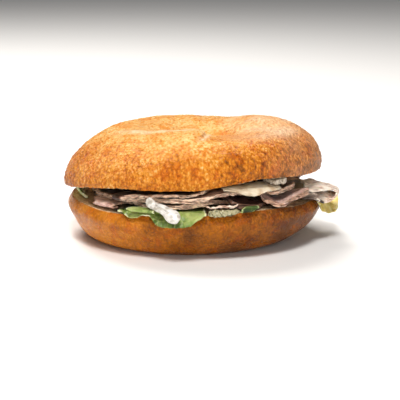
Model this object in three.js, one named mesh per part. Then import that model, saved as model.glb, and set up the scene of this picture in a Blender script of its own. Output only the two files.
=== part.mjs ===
// A filled bagel: the two halves of a boiled and baked bagel whose hole has closed to a dimple, with
// lettuce, slices of roast beef, a slice of white cheese and a run of white dressing between them.
// Millimetres. +Z is up, -Y is the front, and the origin is the middle of the flat base.
import * as THREE from 'three';

// Driving dimensions.
const BAGEL_RADIUS = 55.8; // widest part of the top half
const CREST_RADIUS = 30; // ring where the top half is tallest
const CREST_HEIGHT = 21.8; // top half, from its cut to the crest
const DIMPLE_HEIGHT = 11.5; // top half, from its cut to the bottom of the dimple
const LOWER_RADIUS = 55.3; // widest part of the bottom half
const BASE_RADIUS = 37.5; // flat that the bagel stands on
const BASE_SHIFT = 2.6; // the flat lies this far left of the widest part's middle
const DIMPLE_SHIFT = { x: 10, y: -6 }; // the dimple lies this far right of it and in front of it
const SEAM_ANGLE = -82; // where the two ends of the dough meet, in degrees round the bagel
const SEAM_STEP = 0.8; // the dough left of the seam stands twice this above the dough right of it
const DIP_DEPTH = 4.2; // how much lower the crest is right of the seam
const LEFT_SAG = 3.2; // how far the shoulder falls in at the left
const LEFT_FLARE = 1.7; // how far the crust stands out at the left, down at the cut
const LOWER_CUT = { height: 19.5, slopeX: 0.02 }; // cut face of the bottom half
const UPPER_CUT = { height: 28, slopeX: 0.07, slopeY: -0.055 }; // cut face of the top half
const CLEAR = 0.4; // air between two slices that touch
const LEAF_AIR = 0.55; // air under a leaf
const LEAF = 0.9; // thickness of a leaf
const THINNEST = 0.6; // a slice where it is pressed
const SIDES = 48; // sides of the two halves

// Colours.
const CRUST = 0xc97a34;
const LOWER_CRUST = 0xb56a2a;
const LEAF_GREEN = 0x7f9a3f;
const LEAF_HEART = 0xa8984f;
const MEAT = 0x9c7263;
const MEAT_EDGE = 0xb08a72;
const DARK_MEAT = 0x4a2f28;
const CHEESE = 0xeadfc2;
const DRESSING = 0xe9e4d6;

const group = new THREE.Group();

// --- Numbers ---------------------------------------------------------------------------------

const { degToRad, radToDeg, euclideanModulo, lerp, smoothstep, clamp } = THREE.MathUtils;

/** A value that eases from key to key, each key being [position, value]. */
function eased(keys, at) {
  const next = keys.findIndex(([position]) => position > at);
  if (next === 0) return keys[0][1];
  if (next < 0) return keys[keys.length - 1][1];
  const [from, a] = keys[next - 1];
  const [to, b] = keys[next];
  return lerp(a, b, smoothstep(at, from, to));
}

/** The same round a circle, with the keys' positions in degrees from -180 to 180. */
function easedRound(keys, angle) {
  const degrees = euclideanModulo(radToDeg(angle) + 180, 360) - 180;
  const [first, last] = [keys[0], keys[keys.length - 1]];
  return eased([[last[0] - 360, last[1]], ...keys, [first[0] + 360, first[1]]], degrees);
}

/** A point at a radius and an angle round the bagel's own axis. */
function polar(radius, angle, z) {
  return new THREE.Vector3(radius * Math.cos(angle), radius * Math.sin(angle), z);
}

// --- Meshes ----------------------------------------------------------------------------------

/** Adds a named mesh with its own material. */
function addPiece(name, geometry, colour, roughness = 0.6) {
  const material = new THREE.MeshStandardMaterial({ color: colour, roughness, metalness: 0 });
  const mesh = new THREE.Mesh(geometry, material);
  mesh.name = name;
  group.add(mesh);
}

/** Geometry from points and the corners of its triangles. */
function indexed(points, corners) {
  const geometry = new THREE.BufferGeometry().setFromPoints(points);
  geometry.setIndex(corners);
  return geometry;
}

/** A closed solid whose rings of points follow one another, the first and the last being one point. */
function fromRings(rings) {
  const starts = rings.map((_, i) => rings.slice(0, i).reduce((sum, ring) => sum + ring.length, 0));
  const corners = [];
  rings.slice(1).forEach((ring, i) => {
    const [below, above] = [rings[i].length, ring.length];
    for (let j = 0; j < Math.max(below, above); j += 1) {
      const a = starts[i] + (j % below);
      const b = starts[i] + ((j + 1) % below);
      const c = starts[i + 1] + (j % above);
      const d = starts[i + 1] + ((j + 1) % above);
      if (below > 1) corners.push(a, b, c);
      if (above > 1) corners.push(b, d, c);
    }
  });
  return indexed(rings.flat(), corners);
}

/**
 * A closed sheet with half its thickness to each side of the surface at(u, v), u and v from 0 to 1. The
 * thickness is a number, or keys that ease along u.
 */
function fromSurface(at, thickness, across, along) {
  const step = 1e-3;
  const keys = typeof thickness === 'number' ? [[0, thickness]] : thickness;
  const moved = (u, v, side) => {
    const alongU = at(u + step, v).sub(at(u - step, v));
    const alongV = at(u, v + step).sub(at(u, v - step));
    return at(u, v).addScaledVector(alongU.cross(alongV).normalize(), (side * eased(keys, u)) / 2);
  };
  const points = [];
  [1, -1].forEach((side) => {
    for (let i = 0; i <= across; i += 1) {
      for (let j = 0; j <= along; j += 1) points.push(moved(i / across, j / along, side));
    }
  });
  const row = along + 1;
  const under = (across + 1) * row;
  const corners = [];
  const quad = (a, b, c, d) => corners.push(a, b, c, b, d, c);
  for (let i = 0; i < across; i += 1) {
    for (let j = 0; j < along; j += 1) {
      const a = i * row + j;
      quad(a, a + row, a + 1, a + row + 1);
      corners.push(under + a, under + a + 1, under + a + row);
      corners.push(under + a + row, under + a + 1, under + a + row + 1);
    }
    const [near, far] = [i * row, i * row + along];
    quad(near + under, near + under + row, near, near + row);
    quad(far, far + row, far + under, far + under + row);
  }
  for (let j = 0; j < along; j += 1) {
    const last = across * row + j;
    quad(j, j + 1, j + under, j + under + 1);
    quad(last + under, last + under + 1, last, last + 1);
  }
  return indexed(points, corners);
}

// --- What a piece rests on -------------------------------------------------------------------

/** The highest point of the pieces laid so far, on a grid of square cells. */
class Relief {
  constructor(cell) {
    this.cell = cell;
    this.tops = new Map();
  }

  /** The name of the cell that is i cells along X and j along Y. */
  key(i, j) {
    return `${i},${j}`;
  }

  /** Adds a piece's triangles. */
  lay(geometry) {
    const corner = geometry.getAttribute('position');
    const index = geometry.getIndex();
    const [a, b, c] = [new THREE.Vector3(), new THREE.Vector3(), new THREE.Vector3()];
    for (let t = 0; t < index.count; t += 3) {
      [a, b, c].forEach((point, k) => point.fromBufferAttribute(corner, index.getX(t + k)));
      const longest = Math.max(a.distanceTo(b), b.distanceTo(c), c.distanceTo(a));
      const steps = Math.ceil((2 * longest) / this.cell);
      for (let i = 0; i <= steps; i += 1) {
        for (let j = 0; i + j <= steps; j += 1) {
          const [p, q] = [i / steps, j / steps];
          const point = a.clone().multiplyScalar(1 - p - q).addScaledVector(b, p).addScaledVector(c, q);
          const key = this.key(Math.round(point.x / this.cell), Math.round(point.y / this.cell));
          this.tops.set(key, Math.max(this.tops.get(key) ?? -Infinity, point.z));
        }
      }
    }
  }

  /** The highest point within a reach of (x, y). */
  at(x, y, reach) {
    const cells = Math.ceil(reach / this.cell);
    const [ci, cj] = [Math.round(x / this.cell), Math.round(y / this.cell)];
    let top = -Infinity;
    for (let i = -cells; i <= cells; i += 1) {
      for (let j = -cells; j <= cells; j += 1) {
        const here = this.tops.get(this.key(ci + i, cj + j)) ?? -Infinity;
        if (Math.hypot(i, j) <= cells) top = Math.max(top, here);
      }
    }
    return top;
  }
}

const stack = new Relief(1);

// --- The two halves --------------------------------------------------------------------------

/** A turned solid from a profile of [radius, height], its points moved by shape(point, radius, angle). */
function turned(profile, shape) {
  const round = Array.from({ length: SIDES }, (_, j) => (j / SIDES) * 2 * Math.PI);
  const rings = profile.map(([radius, height]) => {
    const angles = radius === 0 ? [0] : round;
    return angles.map((angle) => shape(polar(radius, angle, height), radius, angle));
  });
  return fromRings(rings);
}

/** The top half's radius at an angle, as a share of a true circle's. */
function unevenUpper(angle) {
  return 1 + 0.008 * Math.cos(2 * angle + 0.6) + 0.006 * Math.cos(3 * angle - 1.1);
}

/** The bottom half's, which is a little turned against the top half. */
function unevenLower(angle) {
  return unevenUpper(angle + 0.5);
}

// How far the knife left each cut's edge above or below a flat cut, by angle, and the ring it fades over.
const LOWER_RIM = [
  ...[[-150, 0], [-134, -0.7], [-100, 0], [-58, 0.5], [-26, -1.0], [0, 0], [60, 0.4], [120, -0.3]],
];
const UPPER_RIM = [
  ...[[-172, -1.5], [-158, -0.9], [-140, 0.4], [-125, 0.8], [-100, -0.5], [-88, -1.1], [-74, 0], [-60, 1.3]],
  ...[[-48, 0.4], [-33, -0.7], [-18, -1.2], [20, 0], [70, -0.4], [130, 0.3]],
];
const RIM_FADE = [36, 52];

function rimAt(keys, x, y) {
  return easedRound(keys, Math.atan2(y, x)) * smoothstep(Math.hypot(x, y), ...RIM_FADE);
}

/** Height of the bottom half's cut face. */
function lowerFace(x, y) {
  return LOWER_CUT.height + LOWER_CUT.slopeX * x + rimAt(LOWER_RIM, x, y);
}

/** Height of the top half's cut face. */
function upperFace(x, y) {
  return UPPER_CUT.height + UPPER_CUT.slopeX * x + UPPER_CUT.slopeY * y + rimAt(UPPER_RIM, x, y);
}

/** The bottom half, from its flat base to its cut face. */
function bottomHalf() {
  const crust = new THREE.SplineCurve([
    new THREE.Vector2(BASE_RADIUS, 0),
    new THREE.Vector2(BASE_RADIUS + 5.5, 1.1),
    new THREE.Vector2(LOWER_RADIUS - 7.0, 4.4),
    new THREE.Vector2(LOWER_RADIUS - 2.7, 9.6),
    new THREE.Vector2(LOWER_RADIUS, 14.4),
    new THREE.Vector2(LOWER_RADIUS - 0.5, 17.4),
    new THREE.Vector2(LOWER_RADIUS - 2.0, LOWER_CUT.height),
  ]);
  const profile = crust.getPoints(10).map((p) => [p.x, p.y]);
  const face = [[BASE_RADIUS + 5, LOWER_CUT.height], [0, LOWER_CUT.height]];
  const shape = (point, radius, angle) => {
    const share = lerp(1, unevenLower(angle), smoothstep(radius, BASE_RADIUS - 1, BASE_RADIUS + 8));
    const shift = BASE_SHIFT * smoothstep(-point.z, -11, 0);
    const [x, y] = [point.x * share, point.y * share];
    return new THREE.Vector3(x - shift, y, (point.z / LOWER_CUT.height) * lowerFace(x, y));
  };
  const geometry = turned([[0, 0], ...profile, ...face], shape);
  addPiece('bagel_bottom', geometry, LOWER_CRUST, 0.5);
  stack.lay(geometry);
}

// By angle: the share of the dip right of the seam, and how far the crest stands above a level one.
const DIP = [[-94, 0], [-66, 0.75], [-50, 1], [-30, 0.7], [0, 0], [180, 0]];
const CREST_WAVES = [
  ...[[-180, -0.1], [-150, -0.7], [-120, -1.1], [-90, -0.7], [-45, 0.6], [0, 0.4], [30, -0.3], [60, -1.5]],
  ...[[80, -0.7], [95, 0.3], [120, 0.7], [150, 0.5]],
];

/** The top half, leaning on the filling. */
function topHalf() {
  const crust = new THREE.SplineCurve([
    new THREE.Vector2(BAGEL_RADIUS - 1.4, 0),
    new THREE.Vector2(BAGEL_RADIUS, 0.16 * CREST_HEIGHT),
    new THREE.Vector2(BAGEL_RADIUS - 0.9, 0.38 * CREST_HEIGHT),
    new THREE.Vector2(BAGEL_RADIUS - 3.6, 0.57 * CREST_HEIGHT),
    new THREE.Vector2(BAGEL_RADIUS - 8.0, 0.74 * CREST_HEIGHT),
    new THREE.Vector2(BAGEL_RADIUS - 13.5, 0.87 * CREST_HEIGHT),
    new THREE.Vector2(CREST_RADIUS + 6, 0.97 * CREST_HEIGHT),
    new THREE.Vector2(CREST_RADIUS, CREST_HEIGHT),
    new THREE.Vector2(CREST_RADIUS - 8, CREST_HEIGHT - 0.8),
    new THREE.Vector2(13, lerp(DIMPLE_HEIGHT, CREST_HEIGHT, 0.62)),
    new THREE.Vector2(5, DIMPLE_HEIGHT + 1.6),
    new THREE.Vector2(0, DIMPLE_HEIGHT),
  ]);
  const profile = crust.getPoints(17).map((p) => [p.x, Math.max(p.y, 0)]);
  profile[profile.length - 1][0] = 0; // the spline's end is on the axis to within rounding
  const plane = new THREE.Euler(Math.atan(UPPER_CUT.slopeY), -Math.atan(UPPER_CUT.slopeX), 0);
  const seamAngle = degToRad(SEAM_ANGLE);
  const shape = (point, radius, angle) => {
    const onTop = point.z > 0 ? 1 : 0;
    const height = clamp(point.z / CREST_HEIGHT, 0, 1);
    const leftness = smoothstep(-Math.cos(angle), 0, 1);
    const rightness = smoothstep(Math.cos(angle), 0.2, 1);
    const fromSeam = Math.atan2(Math.sin(angle - seamAngle), Math.cos(angle - seamAngle));
    const seam = SEAM_STEP * Math.tanh(fromSeam / 0.09) * Math.exp(-(fromSeam ** 2) / 0.9);
    const dip = DIP_DEPTH * easedRound(DIP, angle) * smoothstep(-radius, -50, -34);
    const crown = smoothstep(radius, 2, 24) * smoothstep(-radius, -BAGEL_RADIUS, 18 - BAGEL_RADIUS);
    const waves = crown * (easedRound(CREST_WAVES, angle) - seam - dip);
    const sag = LEFT_SAG * leftness * smoothstep(height, 0.1, 0.75);
    const tuck = 0.5 * rightness * Math.sin(Math.PI * height);
    const flare = LEFT_FLARE * leftness * (1 - smoothstep(height, 0, 0.3));
    const share = unevenUpper(angle) - ((sag + tuck - flare) * smoothstep(radius, 20, 45)) / BAGEL_RADIUS;
    const [x, y] = [point.x * share, point.y * share];
    const shift = onTop * smoothstep(-radius, -38, 0);
    const rise = onTop * waves + rimAt(UPPER_RIM, x, y) * smoothstep(-point.z, -9, 0);
    const moved = new THREE.Vector3(x, y, point.z + rise);
    moved.add(new THREE.Vector3(DIMPLE_SHIFT.x, DIMPLE_SHIFT.y, 0).multiplyScalar(shift));
    moved.applyEuler(plane);
    return moved.add(new THREE.Vector3(0, 0, UPPER_CUT.height));
  };
  const cut = [[0, 0], [BAGEL_RADIUS - 12, 0]];
  addPiece('bagel_top', turned([...cut, ...profile], shape), CRUST, 0.45);
}

// --- Slices that lie flat in the stack -------------------------------------------------------

const SHARES = [0, 0.5, 0.78, 0.92, 1]; // rings of a slice, as shares of its outline
const FRONT_CROWDING = 0.45; // puts more sides of a slice at its front than at its back
const FORWARD = [4, 26]; // how far from the middle a slice starts and ends its rise to the rim's height

/**
 * A limp slice. Its outline is a radius that eases round its own centre, by degrees. It lies on what is
 * under it within a reach, and at the front and back rims its underside also stays above a height over
 * the bottom half's cut that eases along x. It keeps clear of the top half.
 */
function slice(name, options) {
  const { centre, outline, front, thick, colour } = options;
  const { inside = 0, back = [[0, 0]], sides = 42, rim = [30, 49], reach = 3 } = options;
  const [cx, cy] = centre;
  const surface = (x, y) => {
    const atRim = smoothstep(Math.hypot(x, y), ...rim);
    const forward = smoothstep(-y, ...FORWARD) * (eased(front, x) - inside);
    const rearward = smoothstep(y, ...FORWARD) * (eased(back, x) - inside);
    const wanted = LOWER_CUT.height + LOWER_CUT.slopeX * x + inside + atRim * (forward + rearward);
    const under = stack.at(x, y, y < -20 ? reach : reach + 3);
    const resting = Math.max(wanted, under + CLEAR);
    const top = Math.min(resting + eased(thick, x), upperFace(x, y) - CLEAR);
    return [Math.min(resting, top - THINNEST), top];
  };
  const point = (share, turn, side) => {
    const angle = turn - FRONT_CROWDING * Math.cos(turn);
    const radius = share * easedRound(outline, angle);
    const [x, y] = [cx + radius * Math.cos(angle), cy + radius * Math.sin(angle)];
    return new THREE.Vector3(x, y, surface(x, y)[side]);
  };
  const ring = (share, side) => {
    const count = share === 0 ? 1 : sides;
    return Array.from({ length: count }, (_, j) => point(share, (j / sides) * 2 * Math.PI, side));
  };
  const under = SHARES.map((share) => ring(share, 0));
  const over = SHARES.map((share) => ring(share, 1)).toReversed();
  const geometry = fromRings([...under, ...over]);
  addPiece(name, geometry, colour);
  stack.lay(geometry);
}

/** The widest slice, on the leaves. */
function lowSlice() {
  slice('beef_low', {
    centre: [-4, 0],
    outline: [
      ...[[-172, 40], [-150, 41], [-135, 40], [-119, 43], [-107, 50], [-86, 52], [-78, 49], [-66, 40]],
      ...[[-20, 37], [30, 46], [75, 53], [120, 52], [155, 45]],
    ],
    front: [[-46, 0.9], [-31, 1.2], [-12, 2.1], [0, 2.9], [8, 3.2], [20, 1.7]],
    back: [[-40, 0.6], [-26, 1.2], [-12, 0.6], [6, 1.2], [20, 0.6], [34, 1.6]],
    thick: [[-48, 1.2], [-14, 1.8]],
    colour: MEAT,
  });
}

/** The browned end of the joint, in the hollow right of the front. */
function darkSlice() {
  slice('beef_dark', {
    centre: [17, -30],
    outline: [
      ...[[-160, 8], [-118, 13.5], [-92, 18.5], [-75, 17.5], [-60, 18], [-35, 15]],
      ...[[0, 10], [60, 7], [120, 7]],
    ],
    front: [[5, 4.6], [13, 4.2], [20, 1.2], [27, 0.5], [33, 0.4]],
    thick: [[8, 1.7], [21, 2.2], [26, 2.0], [30, 1.3]],
    colour: DARK_MEAT,
    sides: 32,
    reach: 6,
  });
}

/** The slice that shows along most of the front. */
function middleSlice() {
  slice('beef_middle', {
    centre: [-2, -2],
    outline: [
      ...[[-165, 42], [-150, 44.5], [-135, 45.5], [-120, 48], [-88, 51.5], [-66, 50.5], [-56, 46], [-44, 33]],
      ...[[-22, 26], [5, 34], [25, 44], [50, 47], [70, 48], [110, 47.5], [150, 40]],
    ],
    front: [[-42, 2.4], [-28, 3.3], [-8, 4.6], [0, 5.2], [13, 7.5], [16, 7.3], [23, 4.6], [31, 3.4]],
    back: [[-40, 2.4], [-22, 2.9], [-8, 2.5], [8, 3.2], [20, 2.6], [32, 4.4], [42, 3.2]],
    thick: [[-44, 1.2], [-24, 1.7], [0, 1.9], [10, 1.4], [30, 1.2]],
    colour: MEAT,
    reach: 6,
  });
}

/** A wavy slice at the right front. */
function rightSlice() {
  slice('beef_right', {
    centre: [32, -22],
    outline: [
      ...[[-178, 6], [-120, 13.5], [-96, 21], [-70, 20.5], [-45, 18.5], [-18, 18]],
      ...[[-4, 14], [14, 11.5], [60, 12], [110, 14], [150, 8]],
    ],
    front: [
      ...[[25, 4.4], [28, 3.4], [31.6, 2.2], [35, 1.0], [37.2, 1.0]],
      ...[[39.4, 2.1], [42, 3.0], [46, 3.4], [50, 3.4]],
    ],
    thick: [[24, 1.3], [40, 1.6], [44, 1.7], [47, 2.2]],
    colour: MEAT,
    sides: 40,
  });
}

/** A second layer at the left front, just under the top half. */
function upperSlice() {
  slice('beef_upper', {
    centre: [-14, -44],
    outline: [
      ...[[-175, 16], [-155, 9.8], [-131, 7.7], [-90, 7.4], [-57, 10.3], [-37, 15.4], [-14, 21]],
      ...[[0, 20], [14, 9], [45, 3.4], [90, 3], [135, 5], [150, 13], [164, 22]],
    ],
    front: [[-46, 3.0], [-37, 4.0], [-28, 5.6], [-12, 6.9], [6, 7.9]],
    thick: [[-44, 1.0], [-20, 1.4], [4, 1.0]],
    rim: [40, 52],
    colour: MEAT,
  });
}

/** A slice that fills the wide gap at the back right. */
function backSlice() {
  slice('beef_back', {
    centre: [22, 14],
    outline: [
      ...[[-120, 14], [-60, 16], [-35, 21], [0, 26.5], [30, 32], [50, 31], [70, 22]],
      ...[[90, 16], [120, 16], [180, 14]],
    ],
    front: [[0, 0]],
    back: [[20, 4.4], [30, 5.2], [38, 6.8], [46, 5.4], [52, 6.4]],
    thick: [[10, 1.6], [40, 2.2]],
    colour: MEAT,
    reach: 4,
  });
}

/** A small slice curled up under the cheese. */
function tuckedSlice() {
  slice('beef_tucked', {
    centre: [32, -25],
    outline: [[-170, 5], [-125, 8], [-100, 12], [-60, 12.5], [-20, 11], [40, 10], [120, 8]],
    front: [[24, 5.4], [30, 5.0], [35, 5.4], [38, 6.4], [42, 6.4]],
    thick: [[24, 1.0], [34, 1.2], [38, 1.9], [42, 1.9]],
    colour: MEAT,
    sides: 28,
    reach: 1,
  });
}

/** Dressing that clings to the top half's cut at the right. */
function dressingSpread() {
  slice('dressing_spread', {
    centre: [33.5, -36.5],
    outline: [[-138, 4.2], [-90, 4.6], [-48, 4.4], [0, 5], [42, 6.5], [90, 6], [130, 4.6]],
    inside: 10.2,
    front: [[28, 10.8], [32, 10.0], [36, 10.6], [40, 9.8], [44, 10.6]],
    thick: [[30, 2], [46, 2]],
    colour: DRESSING,
    sides: 24,
    reach: 2,
  });
}

// --- Folded slices and leaves ----------------------------------------------------------------

/**
 * A sheet whose spine of [radius, z] points is swept round the bagel's axis, between a near and a far
 * edge whose angles, in degrees, ease along the spine.
 */
function folded(name, { spine, near, far, ripple = 0, thick, across, along, colour }) {
  const curve = new THREE.CatmullRomCurve3(spine.map(([radius, z]) => new THREE.Vector3(radius, 0, z)));
  const length = curve.getLength();
  const at = (u, v) => {
    const inside = clamp(u, 0.002, 0.998); // past its ends the spine goes on straight
    const point = curve.getPoint(inside);
    point.addScaledVector(curve.getTangent(inside), (u - inside) * length);
    const angle = degToRad(lerp(eased(near, u), eased(far, u), v));
    const wave = ripple * Math.sin(9 * v + 3 * u);
    return polar(point.x + wave, angle, point.z + 0.4 * ripple * Math.sin(7 * v));
  };
  const geometry = fromSurface(at, thick, across, along);
  addPiece(name, geometry, colour);
  stack.lay(geometry);
}

/** A point on a curve that goes on straight past its two ends. */
function extended(curve, at) {
  const inside = clamp(at, 0.002, 0.998);
  return curve.getPoint(inside).addScaledVector(curve.getTangent(inside), (at - inside) * curve.getLength());
}

/** A sheet through rows of [radius, degrees, z] points, as many in each row, that run along the sheet. */
function draped(name, { rows, thick, across, along, colour }) {
  const rails = rows.map((row) => {
    return new THREE.CatmullRomCurve3(row.map(([radius, degrees, z]) => polar(radius, degToRad(degrees), z)));
  });
  const at = (u, v) => extended(new THREE.CatmullRomCurve3(rails.map((rail) => extended(rail, u))), v);
  const geometry = fromSurface(at, thick, across, along);
  addPiece(name, geometry, colour);
  stack.lay(geometry);
}

/** A limp slice of white cheese, bent over the front of the slices, one corner hanging lower. */
function cheeseSlice() {
  draped('cheese', {
    rows: [
      [
        ...[[44, -76, 29.5], [44, -71, 29.6], [44, -66, 29.7], [44, -61, 29.9]],
        ...[[44, -56, 30.3], [44.5, -51, 30.3], [46, -46, 29.5]],
      ],
      [
        ...[[51, -76, 30.0], [51.2, -71, 30.3], [51.4, -66, 30.2], [51.6, -61, 29.9]],
        ...[[51.8, -56, 29.6], [51.8, -51, 29.2], [51.6, -46, 28.9]],
      ],
      [
        ...[[52.4, -76.5, 29.8], [52.8, -71.5, 29.0], [53.2, -66.5, 27.4], [53.3, -61, 26.8]],
        ...[[53.2, -56.5, 28.0], [53, -51, 28.0], [52.4, -46, 28.2]],
      ],
    ],
    thick: 0.8,
    across: 18,
    along: 8,
    colour: CHEESE,
  });
}

/** A slice doubled over at the right, its bend hanging past the bottom half and its fold open to the front. */
function hangingFold() {
  draped('beef_fold', {
    rows: [
      [
        ...[[50.5, -21, 25.0], [53.4, -22, 23.5], [57.2, -19.4, 23.6], [61.5, -12.5, 22.8]],
        ...[[62.9, -10.9, 21.2], [61.6, -13.1, 18.8], [58.9, -18, 17.9], [55.8, -24.5, 20.7]],
        ...[[52.8, -30, 21.3]],
      ],
      [
        ...[[49, -15, 25.8], [52.3, -14, 24.9], [56.3, -11.5, 24.2], [61.8, -6.5, 22.4]],
        ...[[63.3, -5.5, 20.7], [62, -7, 18.9], [58.3, -11, 20.3], [55.1, -16.5, 22.6]],
        ...[[50.8, -21, 22.7]],
      ],
      [
        ...[[46.5, -9.4, 25.2], [50.1, -6.9, 25.9], [55.3, -4.1, 24.2], [61.5, -0.5, 21.8]],
        ...[[63.4, 0, 20.4], [61.8, -1.5, 19.2], [57.5, -4.5, 21.6], [53.5, -8.5, 23.2]],
        ...[[48.5, -12, 23.4]],
      ],
    ],
    thick: [[0, 1.2], [0.4, 1.2], [0.6, 1], [1, 1]],
    across: 26,
    along: 6,
    colour: MEAT_EDGE,
  });
}

/** A small slice doubled over at the left, its bend facing out. */
function leftFold() {
  folded('beef_nose', {
    spine: [[47.4, 21.3], [50, 21.5], [52.3, 21.3], [53, 20.6], [51.7, 19.9], [49, 19.8]],
    near: [[0, -150], [0.5, -141], [1, -147]],
    far: [[0, -128], [1, -129]],
    thick: 0.9,
    across: 14,
    along: 6,
    colour: MEAT,
  });
}

/**
 * A leaf that lies on the bottom half and turns down over its edge, between two angles in degrees. Its
 * length from the middle, its drop past the edge and its lift off the cut face ease along it.
 */
function leaf(name, { from, to, inner, length, drop, lift = [[0, 0]], colour, across, along = 8 }) {
  const edge = LOWER_RADIUS - 0.8;
  const at = (u, v) => {
    const angle = degToRad(lerp(from, to, u));
    const travel = lerp(inner, eased(length, u), clamp(v, 0, 2) ** 0.55); // finer steps near the edge
    const hanging = clamp(eased(length, u), edge + 2, edge + 6);
    const fall = eased(drop, u) * smoothstep(travel, edge, hanging);
    const rise = eased(lift, u) * smoothstep(v, 0.1, 0.9);
    const ground = polar(Math.min(travel, edge - 2), angle, 0);
    const under = lowerFace(ground.x, ground.y) + LEAF_AIR + LEAF / 2;
    return polar(travel * unevenLower(angle), angle, under + rise - fall);
  };
  const geometry = fromSurface(at, LEAF, across, along);
  addPiece(name, geometry, colour);
  stack.lay(geometry);
}

/** The leaves that lie on the bottom half, under the slices. */
function leaves() {
  leaf('lettuce_front', {
    from: -126.5,
    to: -84.5,
    inner: 22,
    length: [[0, 53], [0.24, 56.6], [0.42, 55.6], [0.53, 58.6], [0.8, 59], [1, 57.6]],
    drop: [[0, 0], [0.24, 1.8], [0.42, 0.4], [0.53, 4.4], [0.8, 4.8], [1, 0.4]],
    colour: LEAF_GREEN,
    across: 26,
  });
  leaf('lettuce_right', {
    from: -18,
    to: 16,
    inner: 40,
    length: [[0, 57.6], [0.3, 60.5], [0.6, 64], [0.78, 65.3], [1, 61]],
    drop: [[0, 6.1], [0.2, 9], [0.42, 10.1], [0.62, 8.7], [0.78, 6.2], [1, 3]],
    colour: LEAF_HEART,
    across: 16,
  });
  leaf('lettuce_back', {
    from: 62,
    to: 104,
    inner: 22,
    length: [[0, 54], [0.3, 57.6], [0.5, 56.4], [0.75, 58.4], [1, 55]],
    drop: [[0, 0], [0.3, 3], [0.5, 1], [0.75, 4], [1, 0]],
    colour: LEAF_GREEN,
    across: 18,
  });
}

/** The edge of a leaf that curls up past the slices at the left. */
function leftLeaf() {
  leaf('lettuce_left', {
    from: -184,
    to: -160,
    inner: 48.4,
    length: [[0, 51], [0.5, 52.6], [1, 51]],
    drop: [[0, 0], [1, 0]],
    lift: [[0, 1.6], [0.6, 3.7], [1, 1.4]],
    colour: LEAF_GREEN,
    across: 12,
    along: 6,
  });
}

/** The tip of a second leaf, folded flat and pointing left. */
function lettuceTongue() {
  folded('lettuce_tongue', {
    spine: [[53.2, 22.1], [55.2, 22.3], [57.0, 22.0], [57.6, 21.5], [57.0, 21.0], [55.8, 20.9]],
    near: [[0, -115], [0.5, -118.5], [1, -112]],
    far: [[0, -106], [1, -106]],
    thick: LEAF * 0.6,
    across: 12,
    along: 8,
    colour: LEAF_GREEN,
  });
}

/** The curled edge of a leaf right of the front. */
function lettuceCurl() {
  folded('lettuce_curl', {
    spine: [[53.0, 22.4], [54.6, 22.9], [56.0, 22.4], [56.3, 21.6], [55.4, 21.0], [53.8, 20.9]],
    near: [[0, -65], [0.45, -69.5], [0.8, -69.5], [1, -68]],
    far: [[0, -61.5], [0.35, -61], [0.7, -64], [1, -66]],
    thick: LEAF * 0.6,
    across: 12,
    along: 5,
    colour: LEAF_GREEN,
  });
}

// --- Dressing, shreds and spread -------------------------------------------------------------

/** A bead along a path of [radius, degrees, z] points, its width and its depth easing along it. */
function bead(name, { path, width, depth, steps, sides, lumps = 0, colour }) {
  const points = path.map(([radius, degrees, z]) => polar(radius, degToRad(degrees), z));
  const curve = new THREE.CatmullRomCurve3(points);
  const ring = (t) => {
    const centre = curve.getPointAt(t);
    const tangent = curve.getTangentAt(t);
    const outward = new THREE.Vector3(centre.x, centre.y, 0).normalize().setZ(0.8);
    const side = tangent.clone().cross(outward).normalize();
    const face = tangent.clone().cross(side);
    const round = Math.sqrt(1 - (2 * clamp(t, 0.01, 0.99) - 1) ** 8); // blunt ends
    return Array.from({ length: sides }, (_, j) => {
      const angle = (j / sides) * 2 * Math.PI;
      const lump = 1 + lumps * Math.sin(23 * t + 2 * angle) * Math.cos(37 * t - angle);
      const wide = (eased(width, t) / 2) * round * lump * Math.cos(angle);
      const deep = (eased(depth, t) / 2) * round * lump * Math.sin(angle);
      return centre.clone().addScaledVector(side, wide).addScaledVector(face, deep);
    });
  };
  const inner = Array.from({ length: steps }, (_, i) => ring((i + 0.5) / steps));
  addPiece(name, fromRings([[curve.getPointAt(0)], ...inner, [curve.getPointAt(1)]]), colour, 0.3);
}

function dressingRun() {
  bead('dressing_run', {
    path: [
      ...[[54.4, -109.3, 26.9], [55.1, -108.8, 25.8], [55.9, -108.2, 24.8], [56.7, -106.4, 24.2]],
      ...[[57.6, -104, 23.6], [58.5, -100.3, 22.2], [59.5, -98.2, 20.8], [60.2, -96.2, 19.6]],
      ...[[60.6, -95, 18.8]],
    ],
    width: [[0, 3.4], [0.12, 4.2], [0.3, 3.7], [0.55, 4.1], [0.8, 6.4], [1, 5.4]],
    depth: [[0, 1.4], [0.2, 2.0], [0.6, 2.0], [1, 2.4]],
    steps: 16,
    sides: 12,
    colour: DRESSING,
  });
}

/** Shredded lettuce in dressing, at the edge of the bottom half. */
function dressedShreds() {
  bead('lettuce_shreds', {
    path: [[55.7, -84, 21.2], [56, -79, 21.0], [56, -74, 21.3], [55.7, -70, 21.7]],
    width: [[0, 2.6], [0.3, 3.4], [1, 2.2]],
    depth: [[0, 1.4], [1, 1.4]],
    steps: 16,
    sides: 8,
    lumps: 0.22,
    colour: DRESSING,
  });
}

/** Thin crisp shreds along the top of the dressed ones. */
function beefShreds() {
  bead('beef_shreds', {
    path: [
      ...[[53.8, -84.5, 23.6], [54.0, -81.5, 23.0], [54.2, -78.5, 23.6]],
      ...[[54.2, -75, 23.4], [54.0, -72, 23.2], [53.8, -70, 24.2]],
    ],
    width: [[0, 0.8], [0.5, 1.2], [1, 0.8]],
    depth: [[0, 1.0], [1, 1.0]],
    steps: 18,
    sides: 6,
    lumps: 0.2,
    colour: MEAT_EDGE,
  });
}

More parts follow.
